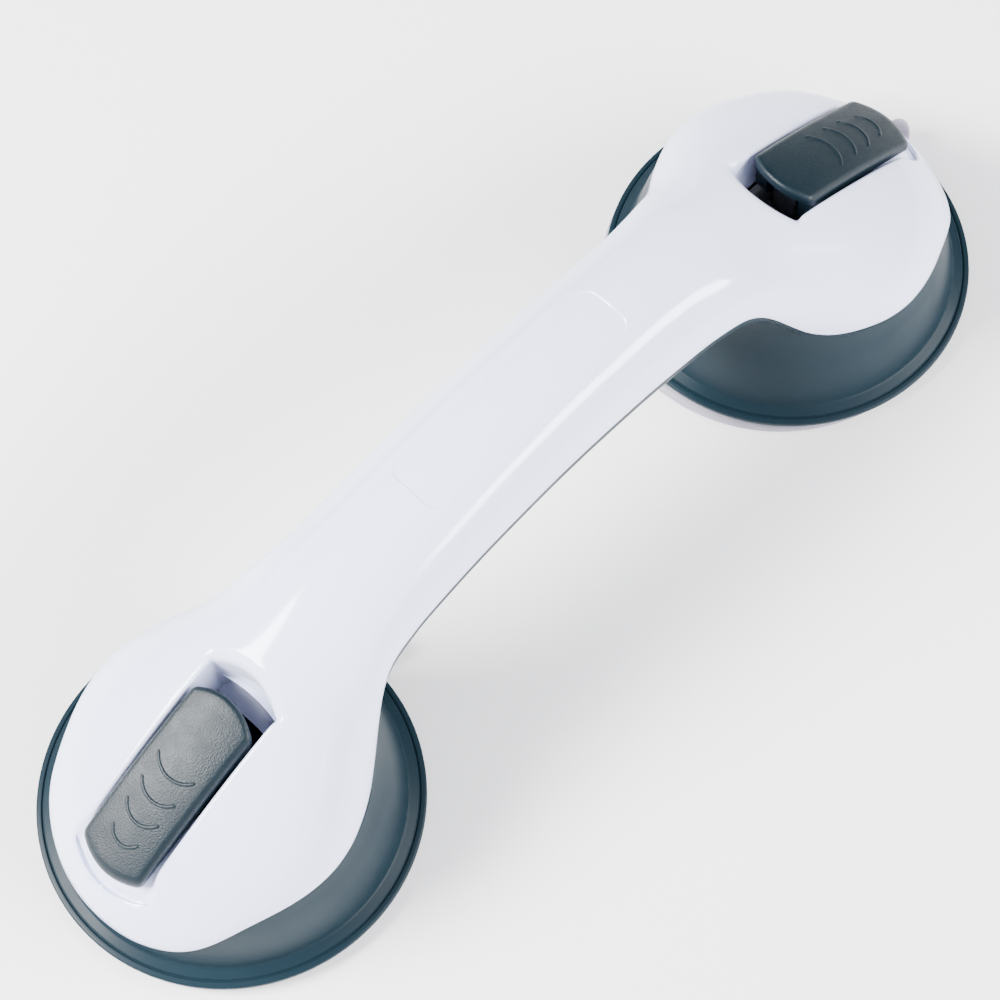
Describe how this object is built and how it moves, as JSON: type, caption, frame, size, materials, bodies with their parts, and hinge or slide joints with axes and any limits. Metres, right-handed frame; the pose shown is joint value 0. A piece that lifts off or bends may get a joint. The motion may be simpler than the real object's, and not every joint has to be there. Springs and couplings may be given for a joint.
{
  "type": "suction grab bar",
  "caption": "Arched two-tone bathroom grab handle with a round suction cup under each end, each cup locked by a flip lever.",
  "frame": {"origin": "on the wall plane that the pads hold to, under the middle of the overall length and width, with both levers closed", "axes": "+X along the bar towards the end where the release tab stands out, +Z away from the wall"},
  "size_m": [0.3079, 0.096, 0.0766],
  "materials": {
    "white_abs": "smooth moulded gloss",
    "dark_teal_abs": "satin moulding, fine spark texture on the levers",
    "soft_clear_pvc": "soft, milky translucent, tacky sheen",
    "black_nylon": "black, waxy moulded",
    "steel": "zinc plated"
  },
  "bodies": {
    "bar": {"upper_shell": "white_abs", "lower_shell": "dark_teal_abs", "wear_plate_a": "steel", "suction_pad_a": "soft_clear_pvc", "return_spring_a": "steel", "wear_plate_b": "steel", "suction_pad_b": "soft_clear_pvc", "return_spring_b": "steel", "shell_screw_1": "steel", "shell_screw_2": "steel", "shell_screw_3": "steel", "shell_screw_4": "steel", "shell_screw_5": "steel", "shell_screw_6": "steel"},
    "plunger_a": {"plunger_a": "black_nylon", "pivot_pin_a": "steel"},
    "lever_a": {"lever_a": "dark_teal_abs"},
    "plunger_b": {"plunger_b": "black_nylon", "pivot_pin_b": "steel"},
    "lever_b": {"lever_b": "dark_teal_abs"}
  },
  "joints": [
    {"name": "plunger_slide_a", "type": "slide", "parent": "bar", "child": "plunger_a", "axis": [0, 0, 1], "range_m": [-0.0032, 0], "deforming": ["return_spring_a", "suction_pad_a"]},
    {"name": "lever_hinge_a", "type": "hinge", "parent": "plunger_a", "child": "lever_a", "pos_m": [-0.10595, 0, 0.0445], "axis": [0, 1, 0], "range_deg": [0, 90]},
    {"name": "plunger_slide_b", "type": "slide", "parent": "bar", "child": "plunger_b", "axis": [0, 0, 1], "range_m": [-0.0032, 0], "deforming": ["return_spring_b", "suction_pad_b"]},
    {"name": "lever_hinge_b", "type": "hinge", "parent": "plunger_b", "child": "lever_b", "pos_m": [0.09805, 0, 0.0445], "axis": [0, -1, 0], "range_deg": [0, 90]}
  ],
  "couplings": [
    {"joint": "plunger_slide_a", "follows": "lever_hinge_a", "m_per_rad": -0.0020372},
    {"joint": "plunger_slide_b", "follows": "lever_hinge_b", "m_per_rad": -0.0020372}
  ]
}
